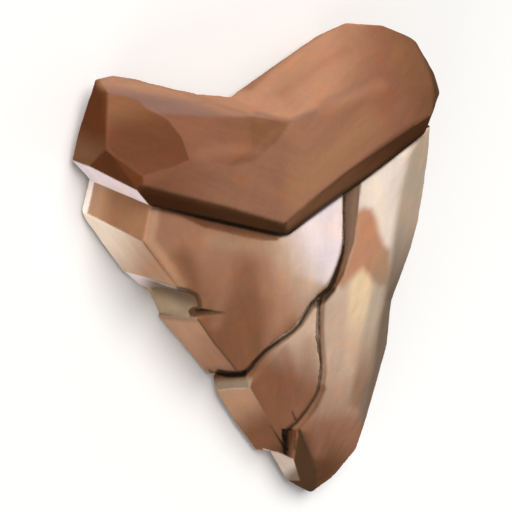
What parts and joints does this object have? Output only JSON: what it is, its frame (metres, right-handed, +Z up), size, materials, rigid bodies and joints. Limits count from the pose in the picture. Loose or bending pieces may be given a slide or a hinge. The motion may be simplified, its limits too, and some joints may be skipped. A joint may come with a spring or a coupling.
{
  "type": "fossil megalodon tooth",
  "caption": "Large fossil shark tooth: thick V-shaped root over a broad cracked blade that tapers to a worn point, lying on its flat back.",
  "frame": {"origin": "middle of the footprint, on the surface the tooth lies on", "axes": "+Z up, out of the bulging front; +Y towards the root; -Y towards the point; the blade leans towards +X"},
  "size_m": [0.1124, 0.146, 0.033],
  "materials": {
    "fossil": "satin"
  },
  "bodies": {
    "root": {"tooth": "fossil"}
  },
  "joints": []
}
